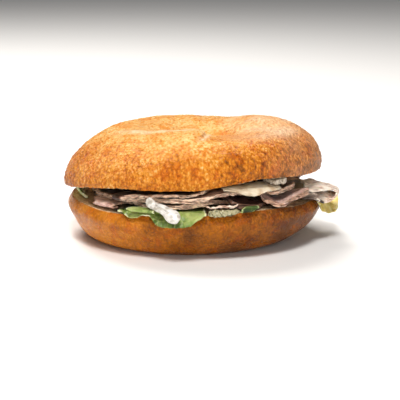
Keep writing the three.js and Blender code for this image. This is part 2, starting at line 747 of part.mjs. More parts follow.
bottomHalf();
leaves();
lowSlice();
leftFold();
darkSlice();
middleSlice();
rightSlice();
upperSlice();
backSlice();
tuckedSlice();
cheeseSlice();
dressingSpread();
hangingFold();
leftLeaf();
lettuceTongue();
lettuceCurl();
dressingRun();
dressedShreds();
beefShreds();
topHalf();

export default group;
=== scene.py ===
"""A filled bagel: its looks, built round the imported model.

Metres, with +Z up and -Y the front. Each piece of food is a finer, dressed copy of the solid that
stands for it in the model: the two baked halves, the slices of roast beef, the leaves, the cheese
and the dressing. The classes give sizes in millimetres and turn them to metres where they use them.
"""

from __future__ import annotations

import logging
import math
from dataclasses import dataclass, field
from enum import Enum
from typing import Any, Iterable, Sequence

import bmesh
import bpy
import numpy as np
from mathutils import Matrix, Vector, kdtree, noise
from mathutils.bvhtree import BVHTree


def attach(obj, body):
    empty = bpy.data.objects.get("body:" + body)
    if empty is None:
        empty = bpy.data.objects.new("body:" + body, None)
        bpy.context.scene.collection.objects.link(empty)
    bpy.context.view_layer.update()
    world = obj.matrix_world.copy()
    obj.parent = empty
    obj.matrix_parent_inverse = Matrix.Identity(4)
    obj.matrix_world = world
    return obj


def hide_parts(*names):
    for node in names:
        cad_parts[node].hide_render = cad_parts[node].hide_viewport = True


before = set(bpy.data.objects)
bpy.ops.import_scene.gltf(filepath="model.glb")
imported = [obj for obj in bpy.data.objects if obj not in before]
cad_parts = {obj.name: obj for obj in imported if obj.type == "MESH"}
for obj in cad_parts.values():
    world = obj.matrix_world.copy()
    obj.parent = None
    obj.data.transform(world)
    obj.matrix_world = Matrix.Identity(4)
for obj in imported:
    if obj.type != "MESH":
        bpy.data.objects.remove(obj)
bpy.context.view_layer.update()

LOG = logging.getLogger("bagel")
MM = 0.001
SEED = 1  # one function of the noise module takes its offsets from the clock without it

Keys = Sequence[tuple[float, float]]
Place = tuple[float, float, float]


# --- Numbers ---


def clamp(value: float, low: float = 0.0, high: float = 1.0) -> float:
    """The value, held between low and high."""
    return max(low, min(high, value))


def smoothstep(low: float, high: float, value: float) -> float:
    """0 below low and 1 above high, easing between them."""
    share = clamp((value - low) / (high - low))
    return share * share * (3.0 - 2.0 * share)


def eased(keys: Keys, at: float) -> float:
    """A value that eases from key to key.

    Args:
        keys: Pairs of position and value, in order of position.
        at: The position asked for.

    Returns:
        The value there, constant past either end.
    """
    if at <= keys[0][0]:
        return keys[0][1]
    for (start, low), (end, high) in zip(keys, keys[1:]):
        if at < end:
            return low + (high - low) * smoothstep(start, end, at)
    return keys[-1][1]


def bump(value: float, centre: float, width: float) -> float:
    """A bell of height 1 at centre, falling to a third at width from it."""
    return math.exp(-(((value - centre) / width) ** 2))


def bearing(point: Vector) -> float:
    """The point's angle round the bagel's axis, in degrees from -180 to 180, with -90 in front."""
    return math.degrees(math.atan2(point.y, point.x))


def reach(point: Vector) -> float:
    """The point's distance from the bagel's axis, in millimetres."""
    return math.hypot(point.x, point.y) / MM


@dataclass(frozen=True)
class Ease:
    """An easing from nothing at its start to its amount at its end, whichever is the greater."""

    start: float
    end: float
    amount: float = 1.0

    def at(self, value: float) -> float:
        """What it gives at a value."""
        return self.amount * smoothstep(self.start, self.end, value)


@dataclass(frozen=True)
class Band:
    """A stretch that eases in at one end and out at the other, and gives its amount between."""

    near: Ease
    far: Ease
    amount: float = 1.0

    def at(self, value: float) -> float:
        """What it gives at a value."""
        return self.amount * (self.near.at(value) * self.far.at(value))


@dataclass(frozen=True)
class Lumps:
    """Smooth noise that goes as far up as down.

    Attributes:
        size: How wide its lumps are, in millimetres.
        height: How far it goes up and down.
        seed: Shifts the pattern, so that two uses differ.
    """

    size: float
    height: float = 1.0
    seed: float = 0.0

    def at(self, point: Vector) -> float:
        """What it gives at a point in metres."""
        shift = Vector((self.seed, 1.7 * self.seed, -self.seed))
        return self.height * noise.noise(point / (self.size * MM) + shift)


@dataclass(frozen=True)
class Pebbles:
    """Round-topped lumps with creases between, from 0 in a crease to 1 on a lump's top.

    Attributes:
        size: How wide its lumps are, in millimetres.
        seed: Shifts the pattern, so that two uses differ.
    """

    size: float
    seed: float = 0.0

    STEEPNESS = 1.6

    def at(self, point: Vector) -> float:
        """What it gives at a point in metres."""
        shift = Vector((self.seed, self.seed, self.seed))
        spread = noise.voronoi(point / (self.size * MM) + shift)[0]
        return clamp((spread[1] - spread[0]) * self.STEEPNESS)


# --- Names ---


class Slot(Enum):
    """The record's material slots."""

    UPPER_CRUST = "upper_crust"
    LOWER_CRUST = "lower_crust"
    GREEN_LEAF = "green_leaf"
    PALE_LEAF = "pale_leaf"
    BEEF = "beef"
    BROWNED_BEEF = "browned_beef"
    CHEESE = "cheese"
    DRESSING = "dressing"


class Mark(Enum):
    """What is written on a mesh's points, from 0 to 1, for its finish to read."""

    BAKE = "bake"  # how dark the crust is: its baking, with painted shade and light in it
    FLOUR = "flour"  # how floury it is, with a painted pale sheen at the right of the top half
    EDGE = "edge"  # how much a sheet looks like its rim
    CHAR = "char"  # how brown a piece is, and how much shade is painted on it


# --- Finishes ---


def linear(code: str) -> tuple[float, float, float, float]:
    """An sRGB hex colour as linear red, green, blue and 1."""
    channels = [int(code[i : i + 2], 16) / 255 for i in (1, 3, 5)]
    flat = [c / 12.92 if c <= 0.04045 else ((c + 0.055) / 1.055) ** 2.4 for c in channels]
    return (*flat, 1.0)


def add(
    tree: bpy.types.NodeTree, kind: str, inputs: dict[str | int, Any] | None = None, **settings: Any
) -> bpy.types.Node:
    """Adds a shader node with its settings and its links.

    Args:
        tree: The material's node tree.
        kind: The node's type, without its ShaderNode prefix.
        inputs: Input names or numbers. Each has a value, a hex colour, the socket to link to it, or
            a node whose first output is linked to it.
        **settings: The node's own settings. Stops sets a colour ramp's positions and colours.

    Returns:
        The node.
    """
    node = tree.nodes.new("ShaderNode" + kind)
    for position, (place, colour) in enumerate(settings.pop("stops", ())):
        elements = node.color_ramp.elements
        element = elements[position] if position < len(elements) else elements.new(place)
        element.position = place
        element.color = linear(colour)
    for setting, value in settings.items():
        setattr(node, setting, value)
    for name, value in (inputs or {}).items():
        if isinstance(value, bpy.types.Node):
            value = value.outputs[0]
        if isinstance(value, bpy.types.NodeSocket):
            tree.links.new(value, node.inputs[name])
        else:
            node.inputs[name].default_value = linear(value) if isinstance(value, str) else value
    return node


def per(size: float) -> float:
    """The scale of a pattern that repeats every so many millimetres."""
    return 1 / (size * MM)


@dataclass(frozen=True)
class Finish:
    """What every finish has: a name, and the start and the end of its node tree."""

    name: str

    def begin(self) -> tuple[bpy.types.Material, bpy.types.NodeTree, bpy.types.NodeSocket]:
        """Starts the material.

        Returns:
            The material, its empty node tree and the object coordinates, in metres.
        """
        material = bpy.data.materials.new(self.name)
        material.use_nodes = True
        tree = material.node_tree
        tree.nodes.clear()
        return material, tree, add(tree, "TexCoord").outputs["Object"]

    def close(self, tree: bpy.types.NodeTree, inputs: dict[str, Any]) -> None:
        """Ends the tree in a principled surface with these inputs."""
        add(tree, "OutputMaterial", {"Surface": add(tree, "BsdfPrincipled", inputs)})


@dataclass(frozen=True)
class BakedCrust(Finish):
    """Bagel crust, boiled in malted water and baked: a hard golden skin of fine blisters.

    The boiled starch gives a low gloss, the malt the orange, and dough that lay against dough stays
    pale and floury. Real blisters go down to 0.3 mm. They are drawn coarser, at 1 mm or more, so
    that they show.

    Attributes:
        pale: The least baked crust.
        gold: Lightly baked crust.
        amber: Well baked crust.
        brown: The darkest crust, in the pits between blisters, where it is partly painted shade.
        malt: What the spots of malt multiply the colour by.
        flour: The flour.
        gloss: Its usual roughness.
        shine: Its specular level.
        relief: How strong its bumps are.
        blister: How wide a blister is, in millimetres.
        mottle: How much darker the pits are than the blisters' tops, partly as painted shade.
        drift: How far the bake drifts from patch to patch.
    """

    pale: str = "#fbd28c"
    gold: str = "#ec9d36"
    amber: str = "#cb7212"
    brown: str = "#78400a"
    malt: str = "#f4d28c"
    # flour: Flour, also painted as a pale sheen at the right of the top half.
    flour: str = "#f3d8b4"
    gloss: float = 0.26
    shine: float = 0.36
    relief: float = 1.0
    blister: float = 1.2
    mottle: float = 1.05
    drift: float = 0.55

    STRETCH = (1.0, 1.0, 0.7)  # the crust's pattern is drawn out upwards, as the dough rose
    SWIRL, BEND = 2.2, 1.1  # over how many millimetres the blisters' rows wander, and how far
    GRAIN, PATCH, SPOT = 0.65, 8, 5  # wrinkles, patches of bake and spots of malt, in millimetres
    USUAL = 0.19  # the level of a middling bake
    DEPTH = 1.1  # of the bumps, in millimetres

    def build(self) -> bpy.types.Material:
        """Makes and returns the material."""
        material, tree, place = self.begin()
        bake = add(tree, "Attribute", attribute_name=Mark.BAKE.value).outputs["Fac"]
        flour = add(tree, "Attribute", attribute_name=Mark.FLOUR.value).outputs["Fac"]
        tall = add(tree, "Mapping", {"Vector": place, "Scale": self.STRETCH})
        swirl = add(tree, "TexNoise", {"Vector": tall, "Scale": per(self.SWIRL), "Detail": 2.0})
        bent = add(
            tree, "VectorMath", {0: swirl.outputs["Color"], 1: (self.BEND * MM,) * 3, 2: tall},
            operation="MULTIPLY_ADD",
        )
        cells = add(
            tree, "TexVoronoi", {"Vector": bent, "Scale": per(self.blister), "Smoothness": 0.6},
            feature="SMOOTH_F1",
        )
        grain = add(
            tree, "TexNoise",
            {"Vector": tall, "Scale": per(self.GRAIN), "Detail": 4.0, "Roughness": 0.65},
        )
        patches = add(tree, "TexNoise", {"Vector": place, "Scale": per(self.PATCH), "Detail": 4.0})
        spots = add(
            tree, "TexNoise",
            {"Vector": place, "Scale": per(self.SPOT), "Detail": 1.0, "Distortion": 0.6},
        )
        # Blisters are high in the middle of a cell, with wrinkles over them.
        bumps = add(tree, "Math", {0: cells, 1: -0.7, 2: grain}, operation="MULTIPLY_ADD")
        # The colour is darker in the pits, partly from baking and partly as painted shade, and
        # drifts from patch to patch.
        pits = add(tree, "Math", {0: bumps, 1: -self.mottle, 2: bake}, operation="MULTIPLY_ADD")
        tone = add(tree, "Math", {0: patches, 1: self.drift, 2: pits}, operation="MULTIPLY_ADD")
        level = add(tree, "Math", {0: tone, 1: self.USUAL - self.drift / 2}, operation="ADD")
        colour = add(
            tree, "ValToRGB", {"Fac": level},
            stops=[(0.0, self.pale), (0.3, self.gold), (0.6, self.amber), (1.0, self.brown)],
        )
        malty = add(
            tree, "MapRange", {"Value": spots, "From Min": 0.5, "From Max": 0.66, "To Max": 0.75}
        )
        rich = add(
            tree, "MixRGB", {"Fac": malty, "Color1": colour, "Color2": self.malt},
            blend_type="MULTIPLY",
        )
        # Flour, and the pale sheen painted with it, lies thickest on the blisters' tops.
        dusty = add(tree, "Math", {0: bumps, 1: 1.6, 2: 0.8}, operation="MULTIPLY_ADD")
        dust = add(tree, "Math", {0: flour, 1: dusty}, operation="MULTIPLY", use_clamp=True)
        dusted = add(tree, "MixRGB", {"Fac": dust, "Color1": rich, "Color2": self.flour})
        # The gloss varies from patch to patch, and flour dulls it.
        dull = add(
            tree, "Math", {0: patches, 1: 0.4, 2: self.gloss - 0.2}, operation="MULTIPLY_ADD"
        )
        rough = add(tree, "Math", {0: dust, 1: 0.3, 2: dull}, operation="MULTIPLY_ADD")
        relief = add(
            tree, "Bump", {"Strength": self.relief, "Distance": self.DEPTH * MM, "Height": bumps}
        )
        self.close(
            tree,
            {
                "Base Color": dusted, "Roughness": rough, "IOR": 1.4,
                "Specular IOR Level": self.shine, "Normal": relief,
            },
        )
        return material


@dataclass(frozen=True)
class Crumb(Finish):
    """The cut crumb of white bread: dull, because its torn walls scatter the light, and porous.

    The pores give a fine cream and tan grain. Under the filling it is painted dark and blotched:
    painted shade.

    Attributes:
        light: The crumb's walls.
        deep: The crumb's pores.
        soaked: The painted shade under the filling.
        juice: The paler blots in the painted shade.
        pore: How wide a pore is, in millimetres.
        blot: How wide a blot is, in millimetres.
    """

    light: str = "#e9cfa6"
    deep: str = "#b98d5e"
    soaked: str = "#4c3325"
    juice: str = "#a08f6a"
    pore: float = 1.4
    blot: float = 1.8

    GRAIN = 0.7  # how wide the crumb's grain is, in millimetres
    DEPTH = 0.5  # of the pores, in millimetres

    def build(self) -> bpy.types.Material:
        """Makes and returns the material."""
        material, tree, place = self.begin()
        soak = add(tree, "Attribute", attribute_name=Mark.CHAR.value).outputs["Fac"]
        cells = add(tree, "TexVoronoi", {"Vector": place, "Scale": per(self.pore)})
        grain = add(tree, "TexNoise", {"Vector": place, "Scale": per(self.GRAIN), "Detail": 3.0})
        blots = add(tree, "TexNoise", {"Vector": place, "Scale": per(self.blot), "Detail": 3.0})
        mixed = add(tree, "Math", {0: cells, 1: grain}, operation="MULTIPLY")
        colour = add(tree, "ValToRGB", {"Fac": mixed}, stops=[(0.1, self.deep), (0.34, self.light)])
        stain = add(
            tree, "ValToRGB", {"Fac": blots}, stops=[(0.45, self.soaked), (0.62, self.juice)]
        )
        # The crumb under the filling is painted darker: painted shade.
        wet = add(tree, "MixRGB", {"Fac": soak, "Color1": colour, "Color2": stain})
        relief = add(tree, "Bump", {"Strength": 0.7, "Distance": self.DEPTH * MM, "Height": mixed})
        self.close(tree, {"Base Color": wet, "Roughness": 0.9, "Normal": relief})
        return material


@dataclass(frozen=True)
class RoastBeef(Finish):
    """Thin slices of roast beef: pink-brown muscle fibres with pale seams, lighter where cut.

    The moisture gives small sharp highlights, and the fibres a fine grain along the slice. Its pale
    cut edge is partly its own colour and partly a painted highlight along the rim.

    Attributes:
        meat: The meat.
        deep: Its darker fibres.
        slit: The slits between them, whose dark is painted shade.
        pale: Its seams of fat.
        cut: Its cut edge, partly its own colour and partly a painted highlight.
        char: Its brown crust, and the shade painted in its slits, its hollows and past its rim.
        moist: Its usual roughness.
    """

    meat: str = "#c69a87"
    deep: str = "#8e5f4e"
    slit: str = "#3f2319"
    pale: str = "#e4c5b1"
    cut: str = "#f9dbc0"
    char: str = "#1e110c"
    moist: float = 0.38

    FIBRE = (5, 1.6, 0.55)  # how long, wide and thick a bundle of fibres is, in millimetres
    PATCH = 4.5  # how wide a patch of one tone is, in millimetres
    DEPTH = 0.5  # of the grain, in millimetres

    def build(self) -> bpy.types.Material:
        """Makes and returns the material."""
        material, tree, place = self.begin()
        edge = add(tree, "Attribute", attribute_name=Mark.EDGE.value).outputs["Fac"]
        char = add(tree, "Attribute", attribute_name=Mark.CHAR.value).outputs["Fac"]
        scale = tuple(1 / (size * MM) for size in self.FIBRE)
        along = add(tree, "Mapping", {"Vector": place, "Scale": scale})
        fibres = add(tree, "TexNoise", {"Vector": along, "Scale": 1.0, "Detail": 3.0})
        patches = add(tree, "TexNoise", {"Vector": place, "Scale": per(self.PATCH), "Detail": 3.0})
        both = add(tree, "Math", {0: fibres, 1: patches}, operation="ADD")
        half = add(tree, "Math", {0: both, 1: 0.5}, operation="MULTIPLY")
        colour = add(
            tree, "ValToRGB", {"Fac": half},
            stops=[(0.38, self.slit), (0.45, self.deep), (0.52, self.meat), (0.64, self.pale)],
        )
        # The pale cut edge, partly a painted highlight along the rim, runs in and out along the
        # fibres.
        ragged = add(tree, "Math", {0: fibres, 1: 2.4, 2: -0.55}, operation="MULTIPLY_ADD")
        cutting = add(tree, "Math", {0: edge, 1: ragged}, operation="MULTIPLY", use_clamp=True)
        edged = add(tree, "MixRGB", {"Fac": cutting, "Color1": colour, "Color2": self.cut})
        # The browning and the painted shade are uneven from patch to patch.
        uneven = add(tree, "Math", {0: patches, 1: 1.3, 2: 0.3}, operation="MULTIPLY_ADD")
        charred = add(tree, "Math", {0: char, 1: uneven}, operation="MULTIPLY", use_clamp=True)
        browned = add(tree, "MixRGB", {"Fac": charred, "Color1": edged, "Color2": self.char})
        rough = add(
            tree, "Math", {0: patches, 1: 0.35, 2: self.moist - 0.17}, operation="MULTIPLY_ADD"
        )
        relief = add(tree, "Bump", {"Strength": 0.8, "Distance": self.DEPTH * MM, "Height": fibres})
        self.close(
            tree,
            {
                "Base Color": browned, "Roughness": rough, "IOR": 1.4, "Subsurface Weight": 0.12,
                "Subsurface Radius": (1.0, 0.35, 0.2), "Subsurface Scale": 1.0 * MM,
                "Normal": relief,
            },
        )
        return material


@dataclass(frozen=True)
class LettuceLeaf(Finish):
    """A leaf of butterhead lettuce: a waxy skin over watery tissue, with paler veins and rim.

    Where it lies under the filling, it is painted darker: painted shade.

    Attributes:
        green: The leaf.
        light: Its paler patches and its veins.
        deep: Its darker patches.
        rim: Its rim.
        wet: The painted shade on the part that lies under the filling.
    """

    green: str = "#7d9148"
    light: str = "#a6b06c"
    deep: str = "#475c25"
    rim: str = "#d9dcb4"
    wet: str = "#33331a"

    PATCH, MESH = 6, 3.6  # patches of one tone and meshes of the veins, in millimetres
    DEPTH = 0.4  # of the veins, in millimetres

    def build(self) -> bpy.types.Material:
        """Makes and returns the material."""
        material, tree, place = self.begin()
        edge = add(tree, "Attribute", attribute_name=Mark.EDGE.value).outputs["Fac"]
        under = add(tree, "Attribute", attribute_name=Mark.CHAR.value).outputs["Fac"]
        patches = add(tree, "TexNoise", {"Vector": place, "Scale": per(self.PATCH), "Detail": 4.0})
        veins = add(
            tree, "TexVoronoi", {"Vector": place, "Scale": per(self.MESH)},
            feature="DISTANCE_TO_EDGE",
        )
        colour = add(
            tree, "ValToRGB", {"Fac": patches},
            stops=[(0.34, self.deep), (0.48, self.green), (0.66, self.light)],
        )
        thin = add(
            tree, "MapRange", {"Value": veins, "From Max": 0.09, "To Min": 0.55, "To Max": 0.0}
        )
        veined = add(tree, "MixRGB", {"Fac": thin, "Color1": colour, "Color2": self.light})
        rimmed = add(tree, "MixRGB", {"Fac": edge, "Color1": veined, "Color2": self.rim})
        # Painted shade where the leaf lies under the filling.
        soaked = add(tree, "MixRGB", {"Fac": under, "Color1": rimmed, "Color2": self.wet})
        relief = add(tree, "Bump", {"Strength": 0.5, "Distance": self.DEPTH * MM, "Height": veins})
        self.close(
            tree,
            {
                "Base Color": soaked, "Roughness": 0.4, "IOR": 1.42, "Subsurface Weight": 0.25,
                "Subsurface Radius": (0.5, 1.0, 0.2), "Subsurface Scale": 0.8 * MM,
                "Normal": relief,
            },
        )
        return material


@dataclass(frozen=True)
class SoftCheese(Finish):
    """A limp slice of white cheese: milk fat lets light in a little way, so its edges look soft.

    The cut face is smooth and dull, and only faintly uneven in tone.

    Attributes:
        cream: The cheese.
        shade: Its duller patches.
    """

    cream: str = "#d3c6af"
    shade: str = "#b59d7f"

    PATCH = 4  # how wide a patch of one tone is, in millimetres
    DEPTH = 0.2  # of its unevenness, in millimetres

    def build(self) -> bpy.types.Material:
        """Makes and returns the material."""
        material, tree, place = self.begin()
        patches = add(tree, "TexNoise", {"Vector": place, "Scale": per(self.PATCH), "Detail": 3.0})
        colour = add(
            tree, "ValToRGB", {"Fac": patches}, stops=[(0.35, self.shade), (0.55, self.cream)]
        )
        relief = add(
            tree, "Bump", {"Strength": 0.25, "Distance": self.DEPTH * MM, "Height": patches}
        )
        self.close(
            tree,
            {
                "Base Color": colour, "Roughness": 0.5, "IOR": 1.44, "Subsurface Weight": 0.3,
                "Subsurface Radius": (1.0, 0.8, 0.5), "Subsurface Scale": 1.5 * MM,
                "Normal": relief,
            },
        )
        return material


@dataclass(frozen=True)
class WhiteDressing(Finish):
    """A thick white dressing of oil and egg: the film of oil gives sharp, wet highlights.

    The droplets of oil make it opaque and white, a little yellow in its creases.

    Attributes:
        white: The dressing.
        shade: Its creases, or what it coats.
        lump: How wide a patch of one tone is, in millimetres.
    """

    white: str = "#d3d0ca"
    shade: str = "#aba599"
    lump: float = 2.5

    def build(self) -> bpy.types.Material:
        """Makes and returns the material."""
        material, tree, place = self.begin()
        patches = add(tree, "TexNoise", {"Vector": place, "Scale": per(self.lump), "Detail": 2.0})
        colour = add(
            tree, "ValToRGB", {"Fac": patches}, stops=[(0.36, self.shade), (0.52, self.white)]
        )
        self.close(
            tree,
            {
                "Base Color": colour, "Roughness": 0.28, "IOR": 1.46, "Subsurface Weight": 0.2,
                "Subsurface Radius": (1.0, 0.9, 0.7), "Subsurface Scale": 1.2 * MM,
            },
        )
        return material


# --- Pieces ---


@dataclass
class Piece:
    """A piece of food made finer from the solid that stands for it.

    Attributes:
        node: The solid's node.
        slot: Its material slot in the record. Not used.
        finishes: Its materials.
        levels: How many times it is subdivided.
        rounds: How many times its coarse points are moved to make up for the smoothing.
        body: The object, once it is made.
    """

    node: str
    slot: Slot
    finishes: list[bpy.types.Material]
    levels: int = 3
    rounds: int = 0
    body: bpy.types.Object = field(init=False)

    def build(self) -> None:
        """Builds and dresses the piece."""
        raise NotImplementedError

    def draft(self) -> bmesh.types.BMesh:
        """The solid's own mesh with its doubles merged and its triangles joined to quads."""
        draft = bmesh.new()
        draft.from_mesh(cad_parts[self.node].data)
        bmesh.ops.remove_doubles(draft, verts=draft.verts, dist=1e-3 * MM)
        bmesh.ops.join_triangles(
            draft, faces=draft.faces, angle_face_threshold=math.pi, angle_shape_threshold=math.pi
        )
        draft.normal_update()
        return draft

    def crease(self, draft: bmesh.types.BMesh, crispness: float) -> None:
        """Creases the edges between faces of unlike materials, to keep them as crisp as given."""
        layer = draft.edges.layers.float.new("crease_edge")
        for edge in draft.edges:
            kinds = {face.material_index for face in edge.link_faces}
            edge[layer] = crispness if len(kinds) > 1 else 0.0

    def refine(self, draft: bmesh.types.BMesh) -> None:
        """Subdivides the draft into the piece's own smooth mesh, and frees the draft."""
        coarse = bpy.data.meshes.new(self.node + "_coarse")
        draft.to_mesh(coarse)
        draft.free()
        body = bpy.data.objects.new(self.node + "_food", coarse)
        bpy.context.scene.collection.objects.link(body)
        smoother = body.modifiers.new("Smoother", "SUBSURF")
        self.settle(body, smoother)
        smoother.levels = self.levels
        smoother.render_levels = self.levels
        graph = bpy.context.evaluated_depsgraph_get()
        fine = bpy.data.meshes.new_from_object(body.evaluated_get(graph))
        fine.name = self.node + "_food"
        body.modifiers.clear()
        body.data = fine
        bpy.data.meshes.remove(coarse)
        for finish in self.finishes:
            fine.materials.append(finish)
        fine.polygons.foreach_set("use_smooth", [True] * len(fine.polygons))
        self.body = body

    def settle(self, body: bpy.types.Object, smoother: bpy.types.SubsurfModifier) -> None:
        """Moves the coarse points until the smoothed surface passes nearly through where they were.

        Args:
            body: The object with the coarse mesh.
            smoother: Its subdivision, which keeps the coarse points first in its result.
        """
        smoother.levels = 1
        smoother.render_levels = 1
        points = body.data.vertices
        wanted = np.empty(3 * len(points))
        points.foreach_get("co", wanted)
        for _ in range(self.rounds):
            graph = bpy.context.evaluated_depsgraph_get()
            smooth = body.evaluated_get(graph).data
            reached = np.empty(3 * len(smooth.vertices))
            smooth.vertices.foreach_get("co", reached)
            held = np.empty(3 * len(points))
            points.foreach_get("co", held)
            points.foreach_set("co", held + wanted - reached[: len(held)])
            body.data.update()

    def put(self, places: Iterable[Vector]) -> None:
        """Moves the mesh's points to these places, given in the points' order."""
        self.body.data.vertices.foreach_set("co", [value for place in places for value in place])
        self.body.data.update()

    def write(self, mark: Mark, numbers: Iterable[float]) -> None:
        """Writes a number from 0 to 1 on every point for the finish to read."""
        layer = self.body.data.attributes.new(mark.value, "FLOAT", "POINT")
        layer.data.foreach_set("value", [clamp(number) for number in numbers])

    def place(self) -> None:
        """Hands the piece to the frame and reports it."""
        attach(self.body, "root")
        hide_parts(self.node)
        self.body.data.calc_loop_triangles()
        LOG.info("%s: %d triangles", self.body.name, len(self.body.data.loop_triangles))


# --- The two baked halves ---


@dataclass
class BreadHalf(Piece):
    """A half of the bagel: a baked crust and the crumb of its cut face.

    Attributes:
        crispness: How sharp the crust's edge at the cut stays.
        soaked: How far from the axis shade is painted on the crumb, in millimetres.
    """

    rounds: int = 3
    crispness: float = 0.75
    soaked: float = 52.6

    # Painted shade on the crumb under the filling: all round, more of it in front, and none at the
    # left rim, where nothing lies on it.
    SOAK, SOAK_FRONT = 0.3, Band(Ease(-5, -25), Ease(-172, -150), 0.5)
    BARE = Ease(-126, -140, 2.9)
    SOAK_EDGE, SOAK_STRAY = 1.8, Lumps(3.0, 0.8, 2.0)
    BLOT, BLOTS = 0.8, Lumps(2.4, 0.8, 6.0)

    # Blisters: rounded cells whose rows wander, with finer wrinkles over them.
    SWIRL, SWIRL_SIZE = 0.35, 1.2
    BLISTERS, BLISTER_MIDDLE, BLISTER_SHARE = Pebbles(1.5, 4.0), 0.45, 0.9
    WRINKLES = Lumps(0.9, 0.45, 2.0)

    PORES = Pebbles(1.8)

    def build(self) -> None:
        """Builds and dresses the half."""
        draft = self.draft()
        for face in draft.faces:
            face.material_index = 1 if self.is_cut(face) else 0
        self.crease(draft, self.crispness)
        self.refine(draft)
        points = self.body.data.vertices
        self.write(Mark.BAKE, [self.bake(point.co) for point in points])
        self.write(Mark.CHAR, [self.soak(point.co) for point in points])
        self.write(Mark.FLOUR, [self.flour(point.co) for point in points])
        self.put([self.shape(point.co.copy(), point.normal.copy()) for point in points])
        self.place()

    def is_cut(self, face: bmesh.types.BMFace) -> bool:
        """Whether the face is part of the cut."""
        raise NotImplementedError

    def shape(self, point: Vector, normal: Vector) -> Vector:
        """Where a point goes.

        Args:
            point: Its place.
            normal: The mesh's normal there.

        Returns:
            Its new place.
        """
        raise NotImplementedError

    def bake(self, point: Vector) -> float:
        """How dark the crust is, from 0 to 1."""
        raise NotImplementedError

    def flour(self, point: Vector) -> float:
        """How floury the crust is, from 0 to 1."""
        return 0.0

    def soak(self, point: Vector) -> float:
        """How much shade is painted on the crumb under the filling, from 0 to 1."""
        angle = bearing(point)
        rim = self.soaked - self.BARE.at(angle)
        depth = smoothstep(rim + self.SOAK_EDGE, rim, reach(point) + self.SOAK_STRAY.at(point))
        return depth * (self.SOAK + self.SOAK_FRONT.at(angle)) * (self.BLOT + self.BLOTS.at(point))

    def blister(self, point: Vector) -> float:
        """The height of the crust's blisters, from 0 to 1."""
        swirl = point + self.SWIRL * MM * noise.noise_vector(point / (self.SWIRL_SIZE * MM))
        cells = self.BLISTER_SHARE * (self.BLISTERS.at(swirl) - self.BLISTER_MIDDLE)
        return clamp(0.5 + cells + self.WRINKLES.at(point))


@dataclass
class BottomHalf(BreadHalf):
    """The bottom half: a smooth brown crust, its wrinkles fine and shallow.

    Attributes:
        cut_height: The height of its cut at the axis, in millimetres.
        cut_slope: How much the cut rises to the right.
        stands: The height up to which it rests flat, in millimetres.
    """

    cut_height: float = 19.5
    cut_slope: float = 0.02
    stands: float = 0.5

    # The cut: how level its faces are, where they start, and how far its crumb goes down.
    LEVEL, CUT_FROM = 0.9, 17
    CRUMB_LEVEL, CRUMB_DEPTH = 0.85, 2.5
    PORE_DEPTH, PORE_SINK, CUT_LUMPS = 0.35, 0.2, Lumps(4, 0.25)

    # The crust.
    FREE = Ease(0.5, 4.0)
    SLOW_LUMPS, QUICK_LUMPS = Lumps(17, 0.4, 3.0), Lumps(5, 0.16, 1.0)
    BLISTER_HEIGHT = 0.12

    # Its baking, partly painted shade and light: browner from the left to the right and at the
    # right end, and paler low down at the left.
    TAN = 0.38
    RIGHT, END = Ease(-46, 5, 0.34), Ease(12, 50, 0.1)
    LOW, LEFT, UNDER = Ease(14, 3), Ease(10, -20), 0.12
    BAKE_DRIFT = Lumps(9, 0.12, 5.0)

    def height(self, point: Vector) -> float:
        """How far the point is under the flat of the cut, in millimetres."""
        return self.cut_height - (point.z / MM - self.cut_slope * point.x / MM)

    def is_cut(self, face: bmesh.types.BMFace) -> bool:
        """Whether the face is part of the cut."""
        return face.normal.z > self.LEVEL and face.calc_center_median().z > self.CUT_FROM * MM

    def shape(self, point: Vector, normal: Vector) -> Vector:
        """Where a point goes: slow lumps and fine wrinkles in the crust, pores in the crumb."""
        if point.z < self.stands * MM:
            return point
        if normal.z > self.CRUMB_LEVEL and self.height(point) < self.CRUMB_DEPTH:
            pores = self.PORE_DEPTH * self.PORES.at(point) - self.PORE_SINK
            return point + normal * (pores + self.CUT_LUMPS.at(point)) * MM
        lumps = self.SLOW_LUMPS.at(point) + self.QUICK_LUMPS.at(point)
        lumps += self.BLISTER_HEIGHT * (self.blister(point) - 0.5)
        return point + normal * lumps * self.FREE.at(point.z / MM) * MM

    def bake(self, point: Vector) -> float:
        """How dark the crust is: browner to the right, and paler low down at the left.

        This is partly painted shade and light.
        """
        x, z = point.x / MM, point.z / MM
        under = self.UNDER * (self.LOW.at(z) * self.LEFT.at(x))
        return self.TAN + self.RIGHT.at(x) + self.END.at(x) - under + self.BAKE_DRIFT.at(point)


